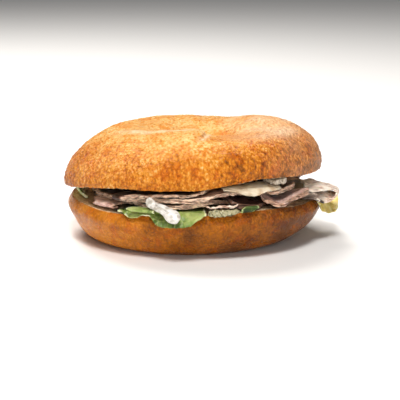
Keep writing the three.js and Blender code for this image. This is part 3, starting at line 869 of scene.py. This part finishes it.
@dataclass
class TopHalf(BreadHalf):
    """The top half: a blistered golden crust round a closed-up hole, with the dough ends' seam.

    Attributes:
        cut_height: The height of its cut at the axis, in millimetres.
        cut_slopes: How much the cut rises to the right and to the back.
        seam_angle: Where the seam crosses seam_middle, as an angle round the axis, in degrees.
        seam_middle: How far from the axis that is, in millimetres.
        seam_lean: How far the seam leans, in degrees a millimetre.
        seam_depth: How deep the seam is, in millimetres.
        seam_width: How wide it is, in millimetres.
        crease_depth: How deep the crease outside the crest is, in millimetres.
        pleats: How many pleats run into the dimple.
        pleat_depth: How deep they are, in millimetres.
        dimple: The dimple's middle, in millimetres.
        crest: How far from the axis the crest runs, in millimetres, by angles in degrees.
    """

    cut_height: float = 28.0
    cut_slopes: tuple[float, float] = (0.07, -0.055)
    seam_angle: float = -82.0
    seam_middle: float = 34.6
    seam_lean: float = -0.58
    seam_depth: float = 0.9
    seam_width: float = 1.1
    crease_depth: float = 0.6
    pleats: int = 3
    pleat_depth: float = 1.1
    dimple: tuple[float, float] = (10.0, -6.0)
    crest: Keys = ((-165, 34.7), (-146, 32.6), (-126, 30.5), (-95, 27.0))

    # The cut: how level its faces are, and how far its crumb goes up.
    LEVEL, CRUMB_LEVEL, CRUMB_HEIGHT = -0.9, -0.8, 3
    PORE_DEPTH, PORE_SINK = 0.4, 0.2

    # The crust's lumps and blisters, the latter higher down its sides.
    SLOW_LUMPS, QUICK_LUMPS = Lumps(19, 0.45, 8.0), Lumps(6, 0.25, 2.0)
    BLISTER_HEIGHT, SIDE_BLISTERS = 0.1, Ease(26, 40, 0.3)

    # The seam by its distance from the axis, and the crest by its angle and its wandering.
    SEAM = Band(Ease(14, 20), Ease(47, 37))
    CREST, CREST_WANDER = Band(Ease(-84, -96), Ease(-172, -150)), Lumps(12, 1.2)
    CREASE_AT, CREASE_WIDTH = 2.2, 1.5

    # The pleats: how sharp they are, how they bend, and where they are deepest.
    PLEAT, PLEAT_BEND = Ease(0.75, 1.0), Lumps(14, 0.9, 2.0)
    PLEATS_AT, PLEATS_WIDTH = 7.0, 6.0

    # The baking: browner at the right and low down, partly painted shade; browner at the left end,
    # painted shade; paler on top, partly painted light; and paler in the dimple.
    TAN = 0.435
    RIGHT, END = Band(Ease(2, 34), Ease(68, 52), 0.2), Ease(-34, -56, 0.09)
    LOW, HIGH, HOLLOW = Ease(9, 1, 0.08), Ease(10, 20, 0.26), Ease(27, 10, 0.17)
    BAKE_DRIFT = Lumps(11, 0.13, 6.0)

    # Flour: a bloom over the right of the top and down its end, partly a painted pale sheen, and
    # more of it in the seam and on the crest.
    TOP_FLOUR, TOP_RIGHT, END_FLOUR = Ease(14, 19, 0.5), Ease(5, 30), Ease(24, 50, 0.18)
    BLOOM, BLOOM_DRIFT = 0.8, Lumps(9, 0.6, 4.0)
    SEAM_FLOUR, SEAM_FLOUR_AT = Band(Ease(20, 26), Ease(45, 38), 0.85), 0.3
    FRAY, FRAYING = 1.3, Lumps(2.6, 0.7, 3.0)
    SPECK, SPECKS = 0.8, Lumps(2.0, 0.7, 8.0)
    STREAK_AT, STREAK_WIDTH = -0.3, 2.3
    STREAK, STREAKS = 0.62, Lumps(5, 0.6, 9.0)

    def height(self, point: Vector) -> float:
        """How far the point is above the flat of the cut, in millimetres."""
        x, y, z = point / MM
        return z - self.cut_height - self.cut_slopes[0] * x - self.cut_slopes[1] * y

    def is_cut(self, face: bmesh.types.BMFace) -> bool:
        """Whether the face is part of the cut."""
        return face.normal.z < self.LEVEL

    def from_seam(self, point: Vector) -> float:
        """How far the point is right of the seam, in millimetres."""
        radius = reach(point)
        bend = self.seam_lean * (radius - self.seam_middle)
        return math.radians(bearing(point) - self.seam_angle - bend) * radius

    def from_crest(self, point: Vector) -> float:
        """How far the point is outside the crest's line, in millimetres."""
        return reach(point) - eased(self.crest, bearing(point)) - self.CREST_WANDER.at(point)

    def from_dimple(self, point: Vector) -> tuple[float, float]:
        """How far the point is right of the dimple's middle and behind it, in millimetres."""
        return point.x / MM - self.dimple[0], point.y / MM - self.dimple[1]

    def shape(self, point: Vector, normal: Vector) -> Vector:
        """Where a point goes: lumps, blisters, seam, crease and pleats in the crust, and pores."""
        if normal.z < self.CRUMB_LEVEL and self.height(point) < self.CRUMB_HEIGHT:
            return point + normal * (self.PORE_DEPTH * self.PORES.at(point) - self.PORE_SINK) * MM
        radius = reach(point)
        lumps = self.SLOW_LUMPS.at(point) + self.QUICK_LUMPS.at(point)
        height = self.BLISTER_HEIGHT + self.SIDE_BLISTERS.at(radius)
        blisters = height * (self.blister(point) - 0.5)
        seam = 0.0
        if bearing(point) < 0:
            along = -self.seam_depth * self.SEAM.at(radius)
            seam = along * bump(self.from_seam(point), 0.0, self.seam_width)
        crest = -self.crease_depth * self.CREST.at(bearing(point))
        crease = crest * bump(self.from_crest(point), self.CREASE_AT, self.CREASE_WIDTH)
        across, away = self.from_dimple(point)
        turn = self.pleats * math.atan2(away, across) + self.PLEAT_BEND.at(point)
        fold = -self.pleat_depth * self.PLEAT.at(math.cos(turn))
        pleats = fold * bump(math.hypot(across, away), self.PLEATS_AT, self.PLEATS_WIDTH)
        return point + normal * (lumps + blisters + seam + crease + pleats) * MM

    def bake(self, point: Vector) -> float:
        """How dark the crust is: pale on top and in the dimple, brown at the right and low down.

        The paler top is partly painted light, the browner right and low parts are partly painted
        shade, and the browner left end is painted shade.
        """
        x, height = point.x / MM, self.height(point)
        tone = self.TAN + self.RIGHT.at(x) + self.END.at(x) + self.LOW.at(height)
        tone = tone - self.HIGH.at(height) - self.HOLLOW.at(math.hypot(*self.from_dimple(point)))
        return tone + self.BAKE_DRIFT.at(point)

    def flour(self, point: Vector) -> float:
        """Where the crust is floury: at the right, in the seam, and in streaks along the crest.

        At the right it is partly a painted pale sheen.
        """
        x = point.x / MM
        ridge = self.TOP_FLOUR.at(self.height(point)) * self.TOP_RIGHT.at(x)
        powder = (ridge + self.END_FLOUR.at(x)) * (self.BLOOM + self.BLOOM_DRIFT.at(point))
        if bearing(point) > 0:
            return powder
        frayed = self.FRAY + self.FRAYING.at(point)
        line = bump(self.from_seam(point), self.SEAM_FLOUR_AT, frayed)
        seam = self.SEAM_FLOUR.at(reach(point)) * line * (self.SPECK + self.SPECKS.at(point))
        line = bump(self.from_crest(point), self.STREAK_AT, self.STREAK_WIDTH)
        streak = self.CREST.at(bearing(point)) * line
        return max(powder, seam + streak * (self.STREAK + self.STREAKS.at(point)))


# --- Slices, leaves and dressing ---


@dataclass
class Sheet(Piece):
    """A thin piece with two faces and a rim between them.

    Attributes:
        crispness: How square its rim stays.
        ragged: How far its rim strays in and out, as a share of TORN.
        sway: How far its rim waves up and down, in millimetres.
        grain: How rough its faces are, in millimetres.
        pale: How far in from the rim it looks different, in millimetres.
        inside: Every point's distance from the rim, in millimetres.
        outward: The way out across the rim, for every point.
    """

    crispness: float = 0.6
    ragged: float = 0.75
    sway: float = 0.4
    grain: float = 0.12
    pale: float = 1.5
    inside: list[float] = field(init=False, default_factory=list)
    outward: list[Vector] = field(init=False, default_factory=list)

    RIM_DEPTH = 2.2  # a face is on the rim if the far side is this many times farther than usual
    TORN, TORN_IN = (Lumps(2.8, 0.7, 1.0), Lumps(1.1, 0.55, 2.0)), Ease(3.5, 0.3)
    WAVE, WAVE_IN = Lumps(6.5, seed=5.0), Ease(11, 2)
    ROUGH, ROUGH_STRETCH = Lumps(3.0, seed=7.0), (1, 3, 5)

    def build(self) -> None:
        """Builds and dresses the sheet."""
        draft = self.draft()
        self.find_rim(draft)
        self.crease(draft, self.crispness)
        self.refine(draft)
        self.measure()
        points = self.body.data.vertices
        self.put(
            [
                self.moved(point.co.copy(), point.normal.copy(), inside, outward)
                for point, inside, outward in zip(points, self.inside, self.outward)
            ]
        )
        for mark, rule in ((Mark.EDGE, self.edged), (Mark.CHAR, self.browned)):
            self.write(mark, [rule(point.co, inside) for point, inside in zip(points, self.inside)])
        self.place()

    def find_rim(self, draft: bmesh.types.BMesh) -> None:
        """Gives the rim's faces material 1.

        Straight in from most faces the other side is as near as the sheet is thick. From the rim it
        is much farther.
        """
        tree = BVHTree.FromBMesh(draft)
        depths = {}
        for face in draft.faces:
            start = face.calc_center_median() - face.normal * 1e-3 * MM
            depths[face] = tree.ray_cast(start, -face.normal)[3] or 0.0
        usual = sorted(depths.values())[len(depths) // 2]
        for face, depth in depths.items():
            face.material_index = int(depth > self.RIM_DEPTH * usual)

    def measure(self) -> None:
        """Notes every point's distance from the rim and the way out across it."""
        mesh = self.body.data
        rim = [face for face in mesh.polygons if face.material_index == 1]
        tree = kdtree.KDTree(len(rim))
        for number, face in enumerate(rim):
            tree.insert(face.center, number)
        tree.balance()
        for point in mesh.vertices:
            _, number, distance = tree.find(point.co)
            self.inside.append(distance / MM)
            self.outward.append(rim[number].normal.copy())
        mesh.polygons.foreach_set("material_index", [0] * len(mesh.polygons))

    def moved(self, point: Vector, normal: Vector, inside: float, outward: Vector) -> Vector:
        """Where a point goes.

        Args:
            point: Its place.
            normal: The mesh's normal there.
            inside: Its distance from the rim, in millimetres.
            outward: The way out across the rim.

        Returns:
            Its new place.
        """
        flat = Vector((point.x, point.y, 0))
        stray = sum(layer.at(flat) for layer in self.TORN)
        torn = outward * stray * self.TORN_IN.at(inside) * self.ragged
        wave = Vector((0, 0, self.sway * self.WAVE.at(flat) * self.WAVE_IN.at(inside)))
        drawn = Vector(stretch * value for stretch, value in zip(self.ROUGH_STRETCH, point))
        return point + (torn + wave + normal * (self.grain * self.ROUGH.at(drawn))) * MM

    def edged(self, point: Vector, inside: float) -> float:
        """How much the point looks like the rim."""
        return smoothstep(self.pale, 0.25 * self.pale, inside)

    def browned(self, point: Vector, inside: float) -> float:
        """How brown the point is, and how much shade is painted on it."""
        return 0.0


@dataclass
class Slice(Sheet):
    """A limp slice of beef, its cut edge torn along the fibres, with dark slits between them.

    The slits' dark is painted shade.

    Attributes:
        layers: How deep the furrows between the fibres are in its cut edge, in millimetres.
        dark: How much shade is painted on its faces past its rim, under the top half.
        lit: The angle round the bagel past which its faces are no longer dark, in degrees.
    """

    layers: float = 1.0
    dark: float = 0.0
    lit: float = 180.0

    # Furrows, in the cut edge only, drawn out along the slice.
    EDGE_ON, EDGE_IN, FURROW_STRETCH = Ease(0.45, 0.85), Ease(1.2, 0.2), 8
    BROAD, BROAD_FURROW = Lumps(4.5, seed=9.0), Ease(-0.05, 0.35)
    NARROW, NARROW_FURROW = Lumps(2.2, seed=4.0), Ease(0, 0.4, 0.5)

    # Painted shade: dark slits in it, drawn out less, and shade over the faces past the rim.
    SLIT_STRETCH, SLIT, SLIT_IN = 5, Ease(0.16, 0.34, 0.65), Ease(1.2, 0.4)
    LIT_WIDTH, JUICE_IN, JUICE_STRAY = 14, Ease(0.5, 1.9), Lumps(2.5, 0.7, 3.0)

    def moved(self, point: Vector, normal: Vector, inside: float, outward: Vector) -> Vector:
        """Where a point goes: as in any sheet, and inwards in the furrows of the cut edge."""
        side = self.EDGE_ON.at(normal.dot(outward)) * self.EDGE_IN.at(inside)
        fibre = Vector((point.x, point.y, self.FURROW_STRETCH * point.z))
        furrow = self.BROAD_FURROW.at(self.BROAD.at(fibre))
        furrow += self.NARROW_FURROW.at(self.NARROW.at(fibre))
        inwards = outward * (self.layers * side * furrow * MM)
        return super().moved(point, normal, inside, outward) - inwards

    def browned(self, point: Vector, inside: float) -> float:
        """How much shade is painted on the point, in the slits and past the rim."""
        fibre = Vector((point.x, point.y, self.SLIT_STRETCH * point.z))
        slits = self.SLIT.at(self.NARROW.at(fibre)) * self.SLIT_IN.at(inside)
        juices = self.dark * smoothstep(self.lit, self.lit - self.LIT_WIDTH, bearing(point))
        return max(slits, juices * self.JUICE_IN.at(inside + self.JUICE_STRAY.at(point)))


@dataclass
class Fold(Slice):
    """A slice doubled over: its upper arm pale, its lower rim brown, its hollow dark.

    The upper arm's paleness is partly fat and partly painted light, and the hollow's dark is
    painted shade.

    Attributes:
        middle: The height that parts the arms, by the distance from the axis, in millimetres.
    """

    middle: Keys = ((46, 24.3), (54, 23.4), (58, 22.2), (62.5, 20.8))

    # The upper arm is painted pale: partly fat, partly painted light.
    FATTY, FAT, FAT_DRIFT = Ease(0.0, 0.8), 0.75, Lumps(4, 0.6, 8.0)
    LOWER_ARM = Ease(0.3, -0.3)
    SPOTS, SPOTTED, SPOTS_IN = Lumps(1.5, seed=2.0), Ease(-0.4, 0.0), Ease(1.5, 0.7)
    # Painted shade in the hollow between the arms.
    HOLLOW_IN, HOLLOW_TO, HOLLOW_DARK = Ease(0.5, 1.6), Ease(59.5, 55.5), 0.9

    def above(self, point: Vector) -> float:
        """How far the point is above the middle, in millimetres."""
        return point.z / MM - eased(self.middle, reach(point))

    def edged(self, point: Vector, inside: float) -> float:
        """How pale the point is: its rim, and the upper arm, with fat and painted light."""
        fat = self.FATTY.at(self.above(point)) * (self.FAT + self.FAT_DRIFT.at(point))
        return max(super().edged(point, inside), fat)

    def browned(self, point: Vector, inside: float) -> float:
        """How dark the point is: brown spots on the lower rim, painted shade between the arms."""
        spots = self.SPOTTED.at(self.SPOTS.at(point)) * self.SPOTS_IN.at(inside)
        hollow = self.HOLLOW_IN.at(inside) * self.HOLLOW_TO.at(reach(point))
        return self.LOWER_ARM.at(self.above(point)) * max(spots, self.HOLLOW_DARK * hollow)


@dataclass
class Leaf(Sheet):
    """A leaf: thin and puckered between its veins, its rim curled and frilled.

    Attributes:
        pucker: How far it puckers, in millimetres.
        frill: How far its rim frills, in millimetres.
        start: The distance from the bagel's axis past which it hangs free, in millimetres.
    """

    crispness: float = 0.4
    ragged: float = 0.5
    sway: float = 0.0
    grain: float = 0.0
    pale: float = 0.8
    pucker: float = 0.6
    frill: float = 0.7
    start: float = 52.0

    PUCKERS, PUCKER_DRIFT = Pebbles(3.4, 2.0), Lumps(5.5, 0.7, 3.0)
    FRILLS, FRILL_IN = Lumps(3.4, seed=6.0), Ease(2.6, 0.4)
    SQUASH = 0.5  # how much less the puckers vary with height
    RISE = 1.2  # how much more the puckers lift the leaf than push it out
    FREE_WIDTH = 2  # over how many millimetres either side of its start it comes free
    WET, WET_FROM, WET_TO = 0.85, 1, 5  # how much shade is painted on it, from so far inside its start

    def moved(self, point: Vector, normal: Vector, inside: float, outward: Vector) -> Vector:
        """Where a point goes, the same on both faces so that the leaf keeps its thickness."""
        out = reach(point)
        free = smoothstep(self.start - self.FREE_WIDTH, self.start + self.FREE_WIDTH, out)
        flat = Vector((point.x, point.y, self.SQUASH * point.z))
        pucker = self.pucker * (self.PUCKERS.at(flat) - 0.5 + self.PUCKER_DRIFT.at(flat))
        frill = self.frill * self.FRILLS.at(flat) * self.FRILL_IN.at(inside)
        away = Vector((point.x, point.y, self.RISE * out * MM)).normalized()
        lift = away * ((pucker + frill) * free * MM)
        return super().moved(point, normal, inside, outward) + lift

    def browned(self, point: Vector, inside: float) -> float:
        """How much shade is painted on the point, where the leaf lies under the filling."""
        wettest = self.start - self.WET_TO
        return self.WET * smoothstep(self.start - self.WET_FROM, wettest, reach(point))


@dataclass(frozen=True)
class Groove:
    """A furrow in a bead.

    Attributes:
        start: One end, in millimetres.
        end: The other end, in millimetres.
        width: How wide it is, in millimetres.
        depth: How deep it is, in millimetres.
    """

    start: Place
    end: Place
    width: float
    depth: float

    def at(self, point: Vector) -> float:
        """How deep it is at a point in metres, in millimetres."""
        first, way = Vector(self.start) * MM, (Vector(self.end) - Vector(self.start)) * MM
        share = clamp((point - first).dot(way) / way.length_squared)
        return self.depth * bump((point - first - way * share).length / MM, 0.0, self.width)


@dataclass
class Bead(Piece):
    """Thick dressing or shreds, the surface lumpy.

    Attributes:
        lumps: How high its lumps are, in millimetres.
        lump: How wide they are, in millimetres.
        grooves: Its furrows.
    """

    lumps: float = 0.25
    lump: float = 2.6
    grooves: Sequence[Groove] = ()

    FINER = 0.4  # how wide and how high the lumps on its lumps are, as a share of them
    SEEDS = (2.0, 5.0)

    def build(self) -> None:
        """Builds and dresses the bead."""
        self.refine(self.draft())
        points = self.body.data.vertices
        self.put([self.shape(point.co.copy(), point.normal.copy()) for point in points])
        self.place()

    def shape(self, point: Vector, normal: Vector) -> Vector:
        """Where a point with this normal goes."""
        coarse = Lumps(self.lump, seed=self.SEEDS[0]).at(point)
        fine = Lumps(self.FINER * self.lump, self.FINER, self.SEEDS[1]).at(point)
        height = self.lumps * (coarse + fine)
        for groove in self.grooves:
            height -= groove.at(point)
        return point + normal * (height * MM)


# --- The stage ---


@dataclass(frozen=True)
class Lamp:
    """A soft square lamp.

    Attributes:
        name: Its name.
        place: Where it stands, in metres.
        size: The side of its face, in metres.
        power: In watts.
        colour: As an sRGB hex value.
    """

    name: str
    place: Place
    size: float
    power: float
    colour: str

    AIM = (0, 0, 0.025)  # the middle of the filling, in metres

    def build(self) -> None:
        """Makes the lamp, shining at the bagel."""
        data = bpy.data.lights.new(self.name, "AREA")
        data.size = self.size
        data.energy = self.power
        data.color = linear(self.colour)[:3]
        lamp = bpy.data.objects.new(self.name, data)
        lamp.location = self.place
        back = Vector(self.place) - Vector(self.AIM)
        lamp.rotation_euler = back.to_track_quat("Z", "Y").to_euler()
        bpy.context.scene.collection.objects.link(lamp)


@dataclass
class Studio:
    """A pale floor, soft studio light from above, behind and in front, and the camera.

    Attributes:
        elevation: The camera's angle above the table, in degrees.
        distance: From the camera to what it looks at, in millimetres.
        lens: Its focal length, in millimetres.
        sensor: The width of its sensor, in millimetres.
        clip: How near and how far it sees, in metres.
        roll: How far it leans, in degrees.
        target: What it looks at, in millimetres.
        floor_size: Half the side of the floor, in metres.
        glow: How strong the even light from all round is.
        lamps: The lamps.
    """

    elevation: float = 12.0
    distance: float = 650.0
    lens: float = 132.8
    sensor: float = 36.0
    clip: tuple[float, float] = (0.01, 20.0)
    roll: float = 0.5
    target: Place = (2.8, 0.0, 15.0)
    floor_size: float = 3.0
    glow: float = 0.12
    lamps: Sequence[Lamp] = (
        Lamp("Window", (-0.25, 0.5, 0.8), 0.5, 11.0, "#fffaf4"),
        Lamp("Key", (-0.02, -0.5, 0.8), 0.25, 7.6, "#fffcf8"),
        Lamp("Fill", (0.15, -0.8, 0.18), 0.5, 3.0, "#fffaf4"),
    )

    def camera(self) -> None:
        """Makes the camera."""
        lift = math.radians(self.elevation)
        back = Vector((0, -math.cos(lift), math.sin(lift)))
        across = Vector((1, 0, 0))
        upward = back.cross(across)
        lean = math.radians(self.roll)
        side = across * math.cos(lean) + upward * math.sin(lean)
        top = upward * math.cos(lean) - across * math.sin(lean)
        data = bpy.data.cameras.new("Camera")
        data.lens = self.lens
        data.sensor_width = self.sensor
        data.clip_start, data.clip_end = self.clip
        eye = bpy.data.objects.new("Camera", data)
        place = (Vector(self.target) + back * self.distance) * MM
        turned = Matrix((side, top, back)).transposed().to_4x4()
        eye.matrix_world = Matrix.Translation(place) @ turned
        bpy.context.scene.collection.objects.link(eye)
        bpy.context.scene.camera = eye

    def floor(self) -> None:
        """Makes the floor."""
        plain = bmesh.new()
        bmesh.ops.create_grid(plain, x_segments=2, y_segments=2, size=self.floor_size)
        mesh = bpy.data.meshes.new("Floor")
        plain.to_mesh(mesh)
        plain.free()
        material = bpy.data.materials.new("PaleFloor")
        material.use_nodes = True
        surface = material.node_tree.nodes["Principled BSDF"]
        surface.inputs["Base Color"].default_value = linear("#e9e9e9")
        surface.inputs["Roughness"].default_value = 0.7
        mesh.materials.append(material)
        floor = bpy.data.objects.new("Floor", mesh)
        bpy.context.scene.collection.objects.link(floor)

    def sky(self) -> None:
        """Makes the even light from all round."""
        world = bpy.data.worlds.new("Studio")
        world.use_nodes = True
        background = world.node_tree.nodes["Background"]
        background.inputs["Color"].default_value = linear("#ffffff")
        background.inputs["Strength"].default_value = self.glow
        bpy.context.scene.world = world

    def build(self) -> None:
        """Builds the stage."""
        self.camera()
        self.floor()
        self.sky()
        for lamp in self.lamps:
            lamp.build()
        bpy.context.scene.view_settings.view_transform = "Standard"


# --- The bagel ---


def make_pieces() -> list[Piece]:
    """Makes the finishes, and the pieces that wear them.

    Returns:
        The pieces, in the order that they are built in.
    """
    upper = BakedCrust("BlisteredCrust").build()
    lower = BakedCrust(
        "SmoothCrust", pale="#efac50", gold="#dc8c2c", amber="#b5680f", brown="#67380a", shine=0.25,
        relief=0.6, mottle=0.5, drift=0.75, blister=1.0,
    ).build()
    crumb = Crumb("Crumb").build()
    beef = RoastBeef("RoastBeef").build()
    # A darker copy of the beef for the slice in the dark hollow: partly brown crust, partly painted
    # shade.
    dark = RoastBeef(
        "BrownedBeef", meat="#4a302a", deep="#241412", slit="#120a08", pale="#6b4b40", cut="#8b6753"
    ).build()
    # A paler copy of the beef: partly fat, partly painted light on the fold's upper arm.
    fatty = RoastBeef(
        "FattyBeef", meat="#e0c8b6", deep="#c3a38f", slit="#957362", pale="#f0e2d2", cut="#fcf4e6"
    ).build()
    # A paler, pinker copy of the beef: partly the slices' own pink, partly painted light on slices
    # under the top half.
    pink = RoastBeef(
        "PinkBeef", meat="#d6b5a9", deep="#b8958a", slit="#8a6253", pale="#ead2c8", cut="#c9a387"
    ).build()
    leaf = LettuceLeaf("Lettuce").build()
    shaded = LettuceLeaf(
        "LettuceShaded", green="#374b21", light="#5f733e", deep="#1a2810", rim="#a9b67a"
    ).build()
    heart = LettuceLeaf(
        "LettuceHeart", green="#c9b055", light="#e0cf86", deep="#a88f3c", rim="#e2d59a"
    ).build()
    cheese = SoftCheese("SoftCheese").build()
    dressing = WhiteDressing("WhiteDressing").build()
    shreds = WhiteDressing("DressedShreds", white="#a19a77", shade="#565535", lump=0.8).build()
    # A darker copy of the dressing for the spread under the top half: painted shade.
    curd = WhiteDressing("CurdledDressing", white="#b7ac9c", shade="#665948", lump=1.0).build()
    groove = Groove((-15.5, -55.5, 25.0), (-10.5, -58.8, 22.2), width=0.5, depth=0.8)
    return [
        BottomHalf("bagel_bottom", Slot.LOWER_CRUST, [lower, crumb]),
        TopHalf("bagel_top", Slot.UPPER_CRUST, [upper, crumb]),
        # dark paints shade on the faces past the rim of the slices under the top half.
        Slice("beef_low", Slot.BEEF, [beef], dark=1.0),
        Slice("beef_nose", Slot.BEEF, [pink], ragged=0.3, sway=0.1, layers=0.3),
        Slice("beef_dark", Slot.BROWNED_BEEF, [dark]),
        Slice("beef_middle", Slot.BEEF, [beef], dark=1.0, lit=-82),
        Slice("beef_right", Slot.BEEF, [pink]),
        Slice("beef_upper", Slot.BEEF, [beef], dark=1.0),
        Slice("beef_back", Slot.BEEF, [beef]),
        Slice("beef_tucked", Slot.BEEF, [beef], dark=0.9),
        Fold("beef_fold", Slot.BEEF, [fatty], ragged=0.4, sway=0.2, layers=0.3),
        Sheet("cheese", Slot.CHEESE, [cheese], ragged=0.35, sway=0.2, grain=0.2),
        Leaf("lettuce_front", Slot.GREEN_LEAF, [leaf]),
        Leaf("lettuce_back", Slot.GREEN_LEAF, [leaf]),
        Leaf("lettuce_right", Slot.PALE_LEAF, [heart]),
        Leaf("lettuce_left", Slot.GREEN_LEAF, [leaf], start=48),
        Leaf("lettuce_tongue", Slot.GREEN_LEAF, [leaf], pucker=0.15, frill=0.1, ragged=0.15),
        Leaf("lettuce_curl", Slot.GREEN_LEAF, [shaded], pucker=0.1, frill=0.1, ragged=0.15),
        Bead("dressing_run", Slot.DRESSING, [dressing], grooves=[groove]),
        Bead("dressing_spread", Slot.DRESSING, [curd], lumps=0.9, lump=2.0),
        Bead("lettuce_shreds", Slot.DRESSING, [shreds], lumps=0.45, lump=1.3),
        Bead("beef_shreds", Slot.BEEF, [fatty], lumps=0.4, lump=1.0),
    ]


def main() -> None:
    """Builds every piece."""
    logging.basicConfig(level=logging.INFO, format="%(name)s %(message)s")
    noise.seed_set(SEED)
    pieces = make_pieces()
    Studio().build()
    for piece in pieces:
        piece.build()


if __name__ == "__main__":
    main()
